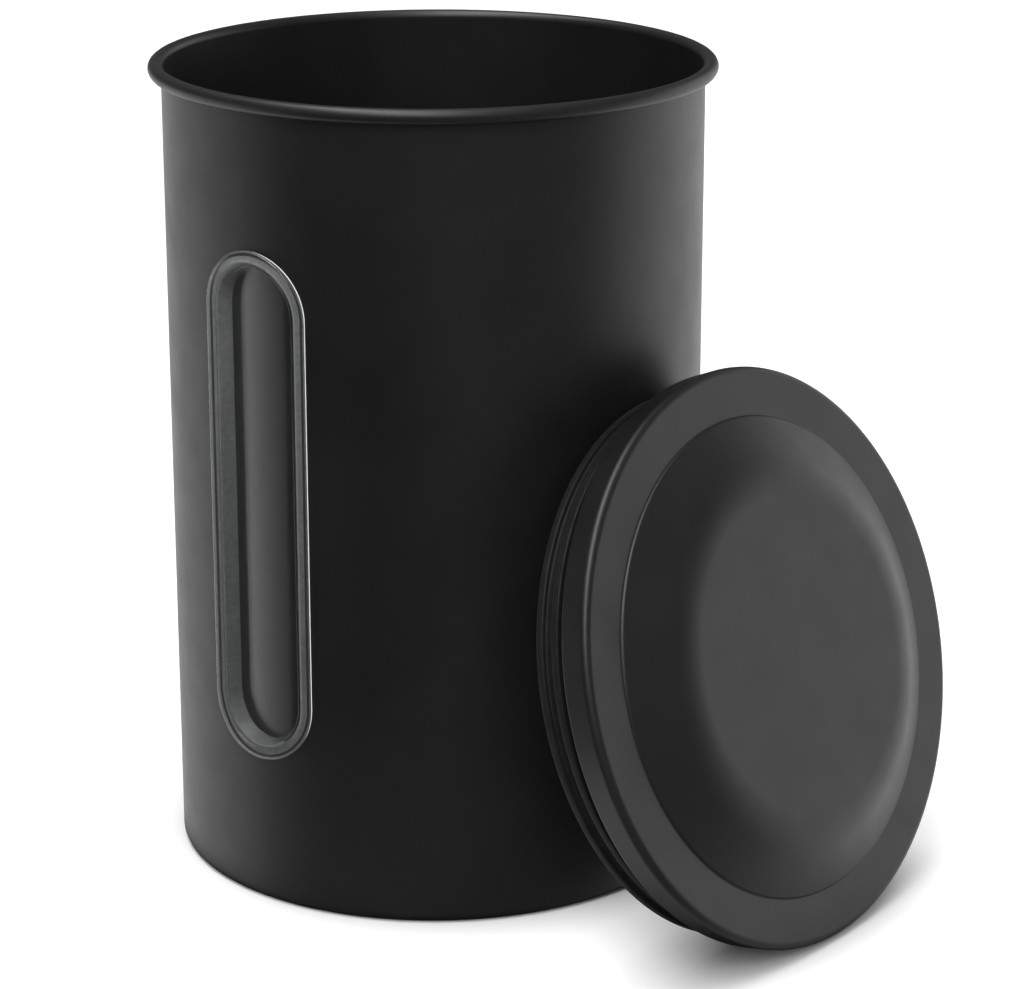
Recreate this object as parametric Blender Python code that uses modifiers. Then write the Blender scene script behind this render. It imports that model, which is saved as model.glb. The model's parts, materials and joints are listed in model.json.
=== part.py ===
"""Coffee canister with a clear window in its wall and a pull-off lid, modelled at real size in metres.

The canister stands on the floor with its axis upright and its window towards -Y. Its lid is off, and
leans against the wall on the +X side, on its rim. The lid tips outward about a line on the floor until
it lies on its face. The origin is on the floor, under the middle of the whole layout.
"""
import math

import bmesh
import bpy
from mathutils import Vector

# Canister wall, a rolled sheet with a curled rim and a turned-in foot
CAN_HEIGHT = 0.227
WALL_RADIUS = 0.075
SHEET = 0.0006
CURL_RADIUS = 0.0021
CURL_TURN = 300
FOOT_BEND = 0.0025
FOOT_FLANGE = 0.004
SEAM_WIDTH = 0.004
SEAM_RISE = 0.00025
SEAM_MARGIN = 0.001

# Air between pieces that touch on the real product
CLEARANCE = 0.0003

# Base plate, a pressed pan that stands in the foot
BASE_SHEET = 0.0006
BASE_RIM_HEIGHT = 0.006
BASE_RECESS = 0.004
BASE_LAND = 0.0035
BASE_SLOPE = 0.003

# Window, measured along the wall from the outline of its bezel
WINDOW_WIDTH = 0.0374
WINDOW_HEIGHT = 0.1446
WINDOW_MIDDLE = 0.114
BEZEL_WIDTH = 0.0032
BEZEL_RISE = 0.0017
BEZEL_EDGE = 0.0006
SILL_WIDTH = 0.0011
SILL_RISE = 0.0004
LEDGE_WIDTH = 0.0006
LEDGE_DEPTH = 0.0016
LENS_DEPTH = 0.0039
LENS_THICKNESS = 0.0013
NECK_WALL = 0.0013
LENS_RIDGE = 0.0015

# Ring of silicone and clamping frame round the window's neck, inside the wall
WINDOW_SEAL_WIDTH = 0.0026
WINDOW_SEAL_THICKNESS = 0.0012
RETAINER_WIDTH = 0.0034
RETAINER_THICKNESS = 0.002
RETAINER_CHAMFER = 0.0006

# Lid cover, a pressed shell with a domed middle; depths run inward from the plane of its flat border
LID_SHEET = 0.0006
LID_EDGE_BEND = 0.00195
LID_SKIRT_DEPTH = 0.00935
LID_SKIRT_TAPER = 0.0006
LID_HEM_BEND = 0.001
LID_HEM_WIDTH = 0.0012
LID_BORDER = 0.0134
DOME_HEIGHT = 0.0087
DOME_SLOPE = 0.0222
DOME_SHOULDER = 0.024

# Lid plug, a moulded cup that fills the mouth, with some air round it
PLUG_AIR = 0.0018
PLUG_WALL = 0.0014
PLUG_DEPTH = 0.02225
PLUG_LAND = 0.0116
PLUG_LAND_SLOPE = 0.002
PLUG_PANEL_RISE = 0.0016
PLUG_FLANGE = 0.0014
PLUG_RIM = 0.0011
PLUG_RIM_STEP = 0.0012
PLUG_RIM_CHAMFER = 0.0035

# Lid seal, a silicone ring with two lips, in the plug's groove
SEAL_GROOVE = 0.0016
SEAL_LIP_WIDTH = 0.0023
SEAL_LIP_PITCH = 0.0049
SEAL_LIP_BEND = 0.0005
SEAL_CORE = 0.0016

# How the lid leans, and how far it is off the straight line from the canister's axis
LEAN_ANGLE = math.radians(17.2)
LEAN_SHIFT = 0.00345

# Facets: steps round a full turn, in a bend, in the rim's curl, over the dome and in the window's ends
ROUND_STEPS = 64
BEND_STEPS = 3
CURL_STEPS = 10
DOME_STEPS = 4
ARCH_STEPS = 14

# How far cutters reach past what they cut, and how close points are before they merge
OVERRUN = 0.003
MERGE = 0.00001

# Radii and heights that several pieces share
BORE_RADIUS = WALL_RADIUS - SHEET
RIM_RADIUS = BORE_RADIUS + 2 * CURL_RADIUS
FLANGE_RADIUS = WALL_RADIUS - FOOT_BEND - FOOT_FLANGE
LIP_RADIUS = BORE_RADIUS - CLEARANCE
PLUG_RADIUS = BORE_RADIUS - PLUG_AIR
SEAL_SEAT_RADIUS = PLUG_RADIUS - SEAL_GROOVE
SEAL_BACK_DEPTH = PLUG_DEPTH - PLUG_RIM - CLEARANCE
LID_RADIUS = RIM_RADIUS
DOME_RADIUS = LID_RADIUS - LID_BORDER
DOME_FLAT = DOME_RADIUS - DOME_SLOPE

# The lid's place: its seal's rear lip meets the wall and its skirt meets the floor
SKIRT_RADIUS = LID_RADIUS - LID_SKIRT_TAPER
HEM_CENTRE_DEPTH = LID_SKIRT_DEPTH - LID_HEM_BEND
HEM_CENTRE_RADIUS = SKIRT_RADIUS - LID_HEM_BEND
LIP_CENTRE_DEPTH = SEAL_BACK_DEPTH - SEAL_LIP_BEND
LIP_CENTRE_RADIUS = LIP_RADIUS - SEAL_LIP_BEND
LEAN_SIN = math.sin(LEAN_ANGLE)
LEAN_COS = math.cos(LEAN_ANGLE)
LID_X = (WALL_RADIUS + CLEARANCE + SEAL_LIP_BEND
         + LIP_CENTRE_DEPTH * LEAN_COS + LIP_CENTRE_RADIUS * LEAN_SIN)
LID_Z = LID_HEM_BEND + HEM_CENTRE_DEPTH * LEAN_SIN + HEM_CENTRE_RADIUS * LEAN_COS

# The tipping line lies on the floor, where a quarter turn and the lean bring the dome down onto the floor
TIP_ANGLE = math.radians(90) + LEAN_ANGLE
TIP_X = LID_X + (DOME_HEIGHT + CLEARANCE - LID_Z * math.cos(TIP_ANGLE)) / math.sin(TIP_ANGLE)

# The canister's axis, from the middle of the whole layout; the lid's edge or its dome reaches furthest
EDGE_REACH = (LID_RADIUS - LID_EDGE_BEND) * LEAN_SIN + LID_EDGE_BEND * (1 - LEAN_COS)
DOME_REACH = DOME_FLAT * LEAN_SIN + (DOME_HEIGHT - DOME_SHOULDER) * LEAN_COS + DOME_SHOULDER
LID_REACH = LID_X + max(EDGE_REACH, DOME_REACH)
CAN_X = (RIM_RADIUS - LID_REACH) / 2
CAN_Y = -LEAN_SHIFT / 2


def clear_scene():
    """Remove what the new file brings, so that only the model is in it."""
    for thing in list(bpy.data.objects):
        bpy.data.objects.remove(thing, do_unlink=True)


def new_collection(name):
    """Make a collection and link it to the scene."""
    group = bpy.data.collections.new(name)
    bpy.context.scene.collection.children.link(group)
    return group


def new_material(name, colour, roughness, metallic=0.0, alpha=1.0):
    """Make a Principled material with the piece's own colour, roughness and metallic value."""
    material = bpy.data.materials.new(name)
    material.use_nodes = True
    shader = material.node_tree.nodes["Principled BSDF"]
    shader.inputs["Base Color"].default_value = (*colour, 1.0)
    shader.inputs["Roughness"].default_value = roughness
    shader.inputs["Metallic"].default_value = metallic
    shader.inputs["Alpha"].default_value = alpha
    material.diffuse_color = (*colour, alpha)
    return material


def new_empty(name, place, parent=None):
    """Make an empty that carries pieces."""
    empty = bpy.data.objects.new(name, None)
    empty.location = place
    empty.parent = parent
    parts.objects.link(empty)
    return empty


def new_piece(name, mesh, material, parent):
    """Make a named object for one sub-part, carried by an empty."""
    mesh.materials.append(material)
    piece = bpy.data.objects.new(name, mesh)
    piece.parent = parent
    parts.objects.link(piece)
    return piece


def new_cutter(name, mesh, parent):
    """Make a hidden helper for a Boolean, in the cutters' collection."""
    cutter = bpy.data.objects.new(name, mesh)
    cutter.parent = parent
    cutter.display_type = "WIRE"
    cutter.hide_render = True
    cutters.objects.link(cutter)
    return cutter


def arc(centre, radius, start, end, steps):
    """Points along an arc, from the start angle to the end angle in degrees, both ends included."""
    points = []
    for step in range(steps + 1):
        angle = math.radians(start + (end - start) * step / steps)
        points.append((centre[0] + radius * math.cos(angle), centre[1] + radius * math.sin(angle)))
    return points


def profile_mesh(name, points, closed):
    """A line of edges in the XZ plane, each point given as its radius and height."""
    mesh = bpy.data.meshes.new(name)
    form = bmesh.new()
    line = [form.verts.new((radius, 0, height)) for radius, height in points]
    for first, second in zip(line, line[1:]):
        form.edges.new((first, second))
    if closed:
        form.edges.new((line[-1], line[0]))
    form.to_mesh(mesh)
    form.free()
    return mesh


def turn(piece):
    """Sweep the profile round the piece's Z axis."""
    screw = piece.modifiers.new("Turn", "SCREW")
    screw.axis = "Z"
    screw.angle = math.tau
    screw.steps = ROUND_STEPS
    screw.render_steps = ROUND_STEPS
    screw.use_merge_vertices = True
    screw.merge_threshold = MERGE
    return screw


def thicken(piece, thickness):
    """Give a turned surface its wall, behind the side that its normals face."""
    shell = piece.modifiers.new("Wall", "SOLIDIFY")
    shell.thickness = thickness
    shell.offset = -1
    shell.use_even_offset = True
    shell.use_rim = True
    return shell


def combine(piece, other, operation):
    """Cut one shape from a piece, or join one to it."""
    boolean = piece.modifiers.new(other.name, "BOOLEAN")
    boolean.solver = "EXACT"
    boolean.operation = operation
    boolean.object = other
    return boolean


def finish(piece):
    """Apply the piece's modifiers and shade its round stretches smooth."""
    bpy.context.view_layer.update()
    graph = bpy.context.evaluated_depsgraph_get()
    mesh = bpy.data.meshes.new_from_object(piece.evaluated_get(graph))
    draft = piece.data
    piece.modifiers.clear()
    piece.data = mesh
    mesh.name = piece.name
    bpy.data.meshes.remove(draft)
    mesh.shade_smooth()
    mesh.set_sharp_from_angle(angle=math.radians(30))


def stadium(inset, rise):
    """Outline of the window with round ends, drawn in from the bezel's edge, at a height over the wall."""
    radius = WINDOW_WIDTH / 2 - inset
    straight = (WINDOW_HEIGHT - WINDOW_WIDTH) / 2
    upper = arc((0, straight), radius, 0, 180, ARCH_STEPS)
    lower = arc((0, -straight), radius, 180, 360, ARCH_STEPS)
    return [Vector((across, along, rise)) for across, along in upper + lower]


def wrapped(point):
    """Lay a point of the flat drawing on the wall: across becomes an angle and rise a radius."""
    angle = point.x / WALL_RADIUS
    radius = WALL_RADIUS + point.z
    return Vector((radius * math.sin(angle), -radius * math.cos(angle), WINDOW_MIDDLE + point.y))


def window_mesh(name, levels, ring):
    """Loft outlines of the window through the given insets and rises, as a ring or with its ends filled."""
    mesh = bpy.data.meshes.new(name)
    form = bmesh.new()
    loops = [[form.verts.new(wrapped(point)) for point in stadium(inset, rise)] for inset, rise in levels]
    followers = loops[1:] + loops[:1] if ring else loops[1:]
    for loop, follower in zip(loops, followers):
        for step in range(len(loop)):
            form.faces.new((loop[step - 1], loop[step], follower[step], follower[step - 1]))
    if not ring:
        form.faces.new(loops[0])
        form.faces.new(loops[-1])
    bmesh.ops.recalc_face_normals(form, faces=form.faces)
    form.to_mesh(mesh)
    form.free()
    return mesh


def bezel_levels():
    """Front of the window from the bezel's outer foot, over its round bead, down to the lens."""
    shoulder = BEZEL_RISE - BEZEL_EDGE
    levels = [(0, BEZEL_EDGE)]
    half = BEZEL_WIDTH / 2
    for step in range(1, 2 * BEND_STEPS):
        angle = math.pi * step / (2 * BEND_STEPS)
        levels.append((half - half * math.cos(angle), BEZEL_EDGE + shoulder * math.sin(angle)))
    sill = BEZEL_WIDTH + SILL_WIDTH
    ledge = sill + LEDGE_WIDTH
    levels += [(BEZEL_WIDTH, SILL_RISE), (sill, SILL_RISE), (sill, -LEDGE_DEPTH)]
    levels += [(ledge, -LEDGE_DEPTH), (ledge, -LENS_DEPTH)]
    return levels


def make_can_body(parent):
    """The rolled wall: foot flange, wall and curled rim in one sheet, a side seam and the window's slot."""
    bend = FOOT_BEND - SHEET
    points = [(FLANGE_RADIUS, SHEET)]
    points += arc((BORE_RADIUS - bend, SHEET + bend), bend, -90, 0, BEND_STEPS)
    curl_centre = (BORE_RADIUS + CURL_RADIUS, CAN_HEIGHT - CURL_RADIUS)
    points += arc(curl_centre, CURL_RADIUS, 180, 180 - CURL_TURN, CURL_STEPS)
    body = new_piece("can_body", profile_mesh("can_body", points, False), black_paint, parent)
    turn(body)
    thicken(body, SHEET)

    length = CAN_HEIGHT - 2 * CURL_RADIUS - FOOT_BEND - 2 * SEAM_MARGIN
    depth = SHEET / 2 + SEAM_RISE
    middle = (0, WALL_RADIUS + SEAM_RISE - depth / 2, FOOT_BEND + SEAM_MARGIN + length / 2)
    form = bmesh.new()
    bmesh.ops.create_cube(form, size=1)
    bmesh.ops.scale(form, vec=(SEAM_WIDTH, depth, length), verts=form.verts)
    bmesh.ops.translate(form, vec=middle, verts=form.verts)
    seam_mesh = bpy.data.meshes.new("side_seam")
    form.to_mesh(seam_mesh)
    form.free()
    combine(body, new_cutter("side_seam", seam_mesh, parent), "UNION")

    inset = neck_inset() - CLEARANCE
    slot = window_mesh("window_slot", [(inset, OVERRUN), (inset, -OVERRUN)], False)
    combine(body, new_cutter("window_slot", slot, parent), "DIFFERENCE")
    finish(body)


def neck_inset():
    """How far the outer side of the window's neck lies inside the bezel's outline."""
    return BEZEL_WIDTH + SILL_WIDTH + LEDGE_WIDTH - NECK_WALL


def make_base_plate(parent):
    """The pressed pan: raised middle, slope, land on the foot flange and rim up the wall."""
    outer_bend = FOOT_BEND - SHEET - CLEARANCE
    bend = outer_bend - BASE_SHEET
    centre = (BORE_RADIUS - CLEARANCE - outer_bend, SHEET + CLEARANCE + outer_bend)
    land_height = SHEET + CLEARANCE + BASE_SHEET
    land_inner = centre[0] - BASE_LAND
    points = [(0, BASE_RECESS + BASE_SHEET), (land_inner - BASE_SLOPE, BASE_RECESS + BASE_SHEET)]
    points += [(land_inner, land_height)]
    points += arc(centre, bend, -90, 0, BEND_STEPS)
    points += [(centre[0] + bend, BASE_RIM_HEIGHT)]
    plate = new_piece("base_plate", profile_mesh("base_plate", points, False), black_paint, parent)
    turn(plate)
    thicken(plate, BASE_SHEET)
    finish(plate)


def make_window(parent):
    """The clear moulding with its bezel and neck, the seal behind the wall and the frame that clamps it."""
    neck = neck_inset()
    ridge = WINDOW_WIDTH / 2 - LENS_RIDGE
    half_way = (ridge + neck) / 2
    back = -LENS_DEPTH - LENS_THICKNESS
    levels = [(ridge, back), (half_way, back), (neck, back), (neck, CLEARANCE), (0, CLEARANCE)]
    levels += bezel_levels()
    levels += [(half_way, -LENS_DEPTH), (ridge, -LENS_DEPTH)]
    lens = new_piece("window_lens", window_mesh("window_lens", levels, False), clear_plastic, parent)
    finish(lens)

    hole = neck - CLEARANCE
    top = -SHEET - CLEARANCE
    bottom = top - WINDOW_SEAL_THICKNESS
    edge = hole - WINDOW_SEAL_WIDTH
    levels = [(hole, bottom), (hole, top), (edge, top), (edge, bottom)]
    seal = new_piece("window_seal", window_mesh("window_seal", levels, True), silicone, parent)
    finish(seal)

    top = bottom - CLEARANCE
    bottom = top - RETAINER_THICKNESS
    edge = hole - RETAINER_WIDTH
    levels = [(hole, bottom), (hole, top), (edge, top), (edge, bottom + RETAINER_CHAMFER)]
    levels += [(edge + RETAINER_CHAMFER, bottom)]
    frame = new_piece("window_retainer", window_mesh("window_retainer", levels, True), black_plastic, parent)
    finish(frame)


def make_lid_cover(parent):
    """The pressed cover: a flat-topped dome, a border, a rounded edge, and a skirt hemmed behind the plug."""
    drop = DOME_SHOULDER - DOME_HEIGHT
    reach = math.hypot(DOME_SLOPE, drop)
    slope_angle = math.degrees(math.atan2(DOME_SLOPE, drop) - math.acos(DOME_SHOULDER / reach))
    points = [(0, DOME_HEIGHT)]
    points += arc((DOME_FLAT, -drop), DOME_SHOULDER, 90, 90 - slope_angle, DOME_STEPS)
    points += [(DOME_RADIUS, 0)]
    points += arc((LID_RADIUS - LID_EDGE_BEND, -LID_EDGE_BEND), LID_EDGE_BEND, 90, 0, BEND_STEPS)
    points += arc((HEM_CENTRE_RADIUS, -HEM_CENTRE_DEPTH), LID_HEM_BEND, 0, -90, BEND_STEPS)
    points += [(HEM_CENTRE_RADIUS - LID_HEM_WIDTH, -LID_SKIRT_DEPTH)]
    cover = new_piece("lid_cover", profile_mesh("lid_cover", points, False), black_paint, parent)
    turn(cover)
    thicken(cover, LID_SHEET)
    return cover


def make_lid_plug(parent):
    """The moulded cup: wall up to the cover, flange held by the hem, groove for the seal, raised middle."""
    seat = SEAL_SEAT_RADIUS
    inner = seat - PLUG_WALL
    floor = -PLUG_DEPTH + PLUG_WALL
    panel = floor + PLUG_PANEL_RISE
    flange_bottom = -LID_SKIRT_DEPTH + LID_SHEET + CLEARANCE
    flange_top = flange_bottom + PLUG_FLANGE
    flange_radius = SKIRT_RADIUS - LID_SHEET - CLEARANCE
    groove_top = -seal_front_depth() + CLEARANCE
    groove_bottom = -SEAL_BACK_DEPTH - CLEARANCE
    rim = seat + PLUG_RIM_STEP
    land = inner - PLUG_LAND
    edge = land - PLUG_LAND_SLOPE
    points = [(0, panel), (edge, panel), (land, floor), (inner, floor)]
    points += [(inner, -LID_SHEET - CLEARANCE), (seat, -LID_SHEET - CLEARANCE), (seat, flange_top)]
    points += [(flange_radius, flange_top), (flange_radius, flange_bottom), (PLUG_RADIUS, flange_bottom)]
    points += [(PLUG_RADIUS, groove_top), (seat, groove_top), (seat, groove_bottom), (rim, groove_bottom)]
    points += [(rim - PLUG_RIM_CHAMFER, -PLUG_DEPTH), (land, -PLUG_DEPTH)]
    points += [(edge, panel - PLUG_WALL), (0, panel - PLUG_WALL)]
    plug = new_piece("lid_plug", profile_mesh("lid_plug", points, False), black_plastic, parent)
    turn(plug)
    return plug


def seal_front_depth():
    """Depth at which the front lip of the lid's seal starts."""
    return SEAL_BACK_DEPTH - SEAL_LIP_PITCH - SEAL_LIP_WIDTH


def make_lid_seal(parent):
    """The silicone ring: a core in the plug's groove and two lips that wipe the canister's bore."""
    inner = SEAL_SEAT_RADIUS + CLEARANCE
    core = inner + SEAL_CORE
    points = [(inner, -seal_front_depth())]
    for front in (seal_front_depth(), seal_front_depth() + SEAL_LIP_PITCH):
        back = front + SEAL_LIP_WIDTH
        points += arc((LIP_CENTRE_RADIUS, -front - SEAL_LIP_BEND), SEAL_LIP_BEND, 90, 0, BEND_STEPS - 1)
        points += arc((LIP_CENTRE_RADIUS, -back + SEAL_LIP_BEND), SEAL_LIP_BEND, 0, -90, BEND_STEPS - 1)
        if back < SEAL_BACK_DEPTH:
            points += [(core, -back), (core, -front - SEAL_LIP_PITCH)]
    points += [(inner, -SEAL_BACK_DEPTH)]
    seal = new_piece("lid_seal", profile_mesh("lid_seal", points, True), silicone, parent)
    turn(seal)
    return seal


clear_scene()
parts = new_collection("coffee_canister")
cutters = new_collection("cutters")

black_paint = new_material("black_paint", (0.018, 0.018, 0.019), 0.42)
black_plastic = new_material("black_plastic", (0.022, 0.022, 0.023), 0.5)
silicone = new_material("silicone", (0.03, 0.03, 0.032), 0.55)
clear_plastic = new_material("clear_plastic", (0.9, 0.91, 0.92), 0.06, alpha=0.3)

can_axis = new_empty("can_axis", (CAN_X, CAN_Y, 0))
make_can_body(can_axis)
make_base_plate(can_axis)
make_window(can_axis)

lid_axis = new_empty("lid_axis", (TIP_X, LEAN_SHIFT, 0), can_axis)
for lid_piece in (make_lid_cover(lid_axis), make_lid_plug(lid_axis), make_lid_seal(lid_axis)):
    lid_piece.location = (LID_X - TIP_X, 0, LID_Z)
    lid_piece.rotation_euler = (0, math.radians(90) - LEAN_ANGLE, 0)
    finish(lid_piece)

bpy.context.view_layer.update()
for piece in parts.objects:
    if piece.type == "MESH":
        print(piece.name, len(piece.data.polygons), "faces")
print("canister axis", round(CAN_X, 6), round(CAN_Y, 6))
print("tipping line", [round(value, 6) for value in lid_axis.matrix_world.translation])
print("lid face centre", round(CAN_X + LID_X, 6), round(CAN_Y + LEAN_SHIFT, 6), round(LID_Z, 6))
print("tip angle", round(math.degrees(TIP_ANGLE), 3))
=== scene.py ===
# %% [markdown]
# # Dressing a coffee canister and its leaning lid
# The model comes as a frame: eight plain solids at their real size, in metres, with +Z up. This
# lesson puts a finished skin over each of them, lights the set and places the camera. The solids
# are never moved, because the motion of the lid is worked out on them. We load them first and note
# their box.

# %% Load the frame
import json
import math

import bmesh
import bpy
from mathutils import Matrix, Vector


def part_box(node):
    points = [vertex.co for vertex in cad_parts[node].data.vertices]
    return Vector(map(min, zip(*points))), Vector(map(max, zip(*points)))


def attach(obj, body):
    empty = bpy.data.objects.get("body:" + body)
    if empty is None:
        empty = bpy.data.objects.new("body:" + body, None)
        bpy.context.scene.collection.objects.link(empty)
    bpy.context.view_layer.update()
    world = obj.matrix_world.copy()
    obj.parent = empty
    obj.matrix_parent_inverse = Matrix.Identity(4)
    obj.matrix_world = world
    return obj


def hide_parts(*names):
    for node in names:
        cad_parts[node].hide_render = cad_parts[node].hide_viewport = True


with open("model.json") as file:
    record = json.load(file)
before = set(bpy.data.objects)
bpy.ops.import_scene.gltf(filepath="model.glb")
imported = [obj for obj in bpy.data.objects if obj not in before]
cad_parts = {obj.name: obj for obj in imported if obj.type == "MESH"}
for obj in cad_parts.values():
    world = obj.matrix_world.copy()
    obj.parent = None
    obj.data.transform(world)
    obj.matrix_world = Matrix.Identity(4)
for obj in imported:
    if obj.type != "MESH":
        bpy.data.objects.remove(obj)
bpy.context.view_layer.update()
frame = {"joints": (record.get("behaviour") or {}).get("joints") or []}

scene = bpy.context.scene

# %% [markdown]
# ## Sizes
# Most sizes can be read off the frame, so the skin fits even if the model changes: the canister's
# axis and height from the wall's box, and the lean of the lid from the range of its joint. The rest
# are the sheet's thickness and the radii of its bends, which a box can't show.

# %% Read the canister off the frame
low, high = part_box("can_body")
CAN_AXIS = Vector(((low.x + high.x) / 2, (low.y + high.y) / 2, 0))
CAN_HEIGHT = high.z
RIM_RADIUS = (high.x - low.x) / 2
SHEET = 0.0006
CURL_RADIUS = 0.0021
BORE_RADIUS = RIM_RADIUS - 2 * CURL_RADIUS
WALL_RADIUS = BORE_RADIUS + SHEET
print("across the wall, across the rim, height:",
      [round(1000 * size, 1) for size in (2 * WALL_RADIUS, 2 * RIM_RADIUS, CAN_HEIGHT)], "mm")

# %% [markdown]
# ## Camera
# The photograph was taken from a little above the rim, with a long lens. The camera stands on a
# circle round the canister's axis, and looks down a little. Its lens is written in pixels of the
# picture's width, which Blender turns into millimetres of a 36 mm sensor. It could be placed by
# eye, but it was fitted to the object's outlines, because the ellipses of rim and foot show even a
# small error of angle.

# %% Place the camera
PICTURE_WIDTH = 1024
SENSOR_WIDTH = 36
FOCUS_PIXELS = 3381
CAMERA_DISTANCE = 0.9255
CAMERA_HEIGHT = 0.39345
CAMERA_AZIMUTH = math.radians(40.4)
CAMERA_YAW = math.radians(1.34)
CAMERA_PITCH = math.radians(17.6)

camera_data = bpy.data.cameras.new("camera")
camera_data.sensor_width = SENSOR_WIDTH
camera_data.lens = FOCUS_PIXELS / PICTURE_WIDTH * SENSOR_WIDTH
camera_data.clip_start = 0.01
camera = bpy.data.objects.new("camera", camera_data)
towards_camera = Vector((math.sin(CAMERA_AZIMUTH), -math.cos(CAMERA_AZIMUTH), 0))
camera.location = CAN_AXIS + CAMERA_DISTANCE * towards_camera + Vector((0, 0, CAMERA_HEIGHT))
camera.rotation_euler = (math.pi / 2 - CAMERA_PITCH, 0, CAMERA_AZIMUTH - CAMERA_YAW)
scene.collection.objects.link(camera)
scene.camera = camera
scene.view_settings.view_transform = "Standard"
print("camera at", [round(part, 3) for part in camera.location])

# %% [markdown]
# ## Finishes
# All the finishes are procedural. One small helper makes a node and sets its inputs, and another
# starts a finish, which reads Object coordinates, so that a pattern keeps its real size and stays
# on the piece as it moves.

# %% Make nodes and finishes
def add_node(tree, kind, **inputs):
    """Add a node and set its unlinked inputs by name."""
    node = tree.nodes.new(kind)
    for name, value in inputs.items():
        node.inputs[name.replace("_", " ")].default_value = value
    return node


def new_finish(name):
    """A material with its tree, its Principled shader and Object coordinates."""
    finish = bpy.data.materials.new(name)
    finish.use_nodes = True
    tree = finish.node_tree
    place = tree.nodes.new("ShaderNodeTexCoord").outputs["Object"]
    print("finish", name)
    return finish, tree, tree.nodes["Principled BSDF"], place

# %% [markdown]
# Four more helpers turn noise into a bump, a spread of gloss or a fade of colour. The noise has a
# real size: its scale is one over the size of a grain, in metres. It seldom leaves the middle of
# its range, so that middle is spread out.

# %% Turn noise into relief, gloss and colour
NOISE_MIDDLE = (0.3, 0.7)
TINT_MIDDLE = (0.35, 0.65)


def grain(tree, place, size, detail=3.0):
    """Noise whose blotches are about the given size across."""
    noise = add_node(tree, "ShaderNodeTexNoise", Scale=1 / size, Detail=detail, Roughness=0.5)
    tree.links.new(place, noise.inputs["Vector"])
    return noise.outputs["Fac"]


def bumps(tree, shader, height, depth):
    """Raise the surface by a height from 0 to 1, over a depth in metres."""
    bump = add_node(tree, "ShaderNodeBump", Strength=1, Distance=depth)
    tree.links.new(height, bump.inputs["Height"])
    tree.links.new(bump.outputs["Normal"], shader.inputs["Normal"])


def between(tree, factor, values, socket):
    """Spread a noise over a range of values, and feed it to a socket."""
    spread = add_node(tree, "ShaderNodeMapRange")
    spread.inputs["From Min"].default_value, spread.inputs["From Max"].default_value = NOISE_MIDDLE
    spread.inputs["To Min"].default_value, spread.inputs["To Max"].default_value = values
    tree.links.new(factor, spread.inputs["Value"])
    tree.links.new(spread.outputs["Result"], socket)


def tint(tree, factor, colours, socket):
    """Fade from one colour to another with a noise."""
    ramp = tree.nodes.new("ShaderNodeValToRGB")
    for stop, position, colour in zip(ramp.color_ramp.elements, TINT_MIDDLE, colours):
        stop.position = position
        stop.color = (*colour, 1)
    tree.links.new(factor, ramp.inputs["Fac"])
    tree.links.new(ramp.outputs["Color"], socket)

# %% [markdown]
# The canister and the lid's cover are steel with a satin black powder coat. Powder melts into a
# skin that is almost smooth, with a soft texture like orange peel, about a millimetre from crest to
# crest and about a hundredth deep. Under it the gloss drifts a little from place to place. An image
# of paint would have to be wrapped round each piece, while noise needs no seam and stays fine close
# by.

# %% Satin black powder coat
COAT_COLOURS = ((0.0052, 0.0052, 0.0054), (0.0068, 0.0068, 0.007))
COAT_CLOUD = 0.03
COAT_ROUGHNESS = (0.40, 0.45)
COAT_DRIFT = 0.012
PEEL_SIZE = 0.0011
PEEL_DEPTH = 0.000012

black_paint, tree, shader, place = new_finish("black_paint")
tint(tree, grain(tree, place, COAT_CLOUD), COAT_COLOURS, shader.inputs["Base Color"])
between(tree, grain(tree, place, COAT_DRIFT), COAT_ROUGHNESS, shader.inputs["Roughness"])
bumps(tree, shader, grain(tree, place, PEEL_SIZE, detail=1.5), PEEL_DEPTH)

# %% [markdown]
# The plug inside the lid and the frame behind the window are moulded in black plastic. The mould
# was etched, which leaves a fine even grain and a duller surface than the paint. A grain this fine
# would take millions of faces, so it is left to the bump.

# %% Etched black plastic
PLASTIC_COLOURS = ((0.0042, 0.0042, 0.0044), (0.0055, 0.0055, 0.0057))
PLASTIC_CLOUD = 0.02
PLASTIC_ROUGHNESS = (0.47, 0.54)
PLASTIC_DRIFT = 0.006
ETCH_SIZE = 0.00035
ETCH_DEPTH = 0.000012

black_plastic, tree, shader, place = new_finish("black_plastic")
tint(tree, grain(tree, place, PLASTIC_CLOUD), PLASTIC_COLOURS, shader.inputs["Base Color"])
between(tree, grain(tree, place, PLASTIC_DRIFT), PLASTIC_ROUGHNESS, shader.inputs["Roughness"])
bumps(tree, shader, grain(tree, place, ETCH_SIZE, detail=2.0), ETCH_DEPTH)

# %% [markdown]
# Silicone is softer to the eye: a matt skin that picks up a trace of dust, which a little sheen
# shows where the surface turns away. Sheen does that with two numbers, where a layer of dust would
# need a mask.

# %% Black silicone
SILICONE_COLOURS = ((0.0045, 0.0045, 0.0047), (0.0065, 0.0065, 0.0068))
SILICONE_CLOUD = 0.004
SILICONE_ROUGHNESS = (0.55, 0.63)
SILICONE_DRIFT = 0.003
SKIN_SIZE = 0.0008
SKIN_DEPTH = 0.000008

silicone, tree, shader, place = new_finish("silicone")
tint(tree, grain(tree, place, SILICONE_CLOUD), SILICONE_COLOURS, shader.inputs["Base Color"])
between(tree, grain(tree, place, SILICONE_DRIFT), SILICONE_ROUGHNESS, shader.inputs["Roughness"])
shader.inputs["Specular IOR Level"].default_value = 0.25
shader.inputs["Sheen Weight"].default_value = 0.05
shader.inputs["Sheen Roughness"].default_value = 0.4
bumps(tree, shader, grain(tree, place, SKIN_SIZE, detail=2.0), SKIN_DEPTH)

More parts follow.
